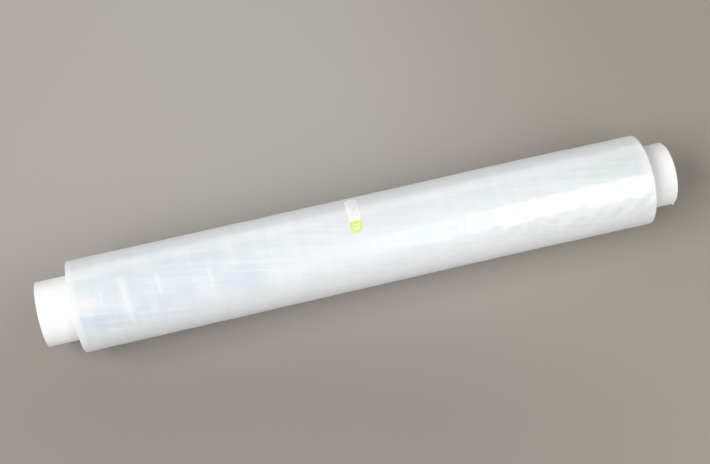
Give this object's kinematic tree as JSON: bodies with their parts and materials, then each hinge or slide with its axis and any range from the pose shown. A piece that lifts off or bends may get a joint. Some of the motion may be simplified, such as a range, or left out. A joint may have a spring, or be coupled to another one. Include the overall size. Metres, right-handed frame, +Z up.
{
  "type": "cling film roll",
  "caption": "Roll of clear cling film wound on a hollow white paperboard core that stands out at both ends, its free edge held by a small label.",
  "frame": {"origin": "on the surface the roll lies on, under the middle of the core's axis", "axes": "+X along the roll's axis towards the shorter end of the core, +Z up, -Y towards the side the label's tab points to"},
  "size_m": [0.498, 0.0707, 0.0708],
  "materials": {
    "core_board": "matt white liner, spiral wound",
    "cling_film": "glossy, milky where many turns lie together",
    "label_paper": "satin coated paper, white with a lime end"
  },
  "bodies": {
    "root": {"core_tube": "core_board", "film_roll": "cling_film", "start_label": "label_paper"}
  },
  "joints": []
}
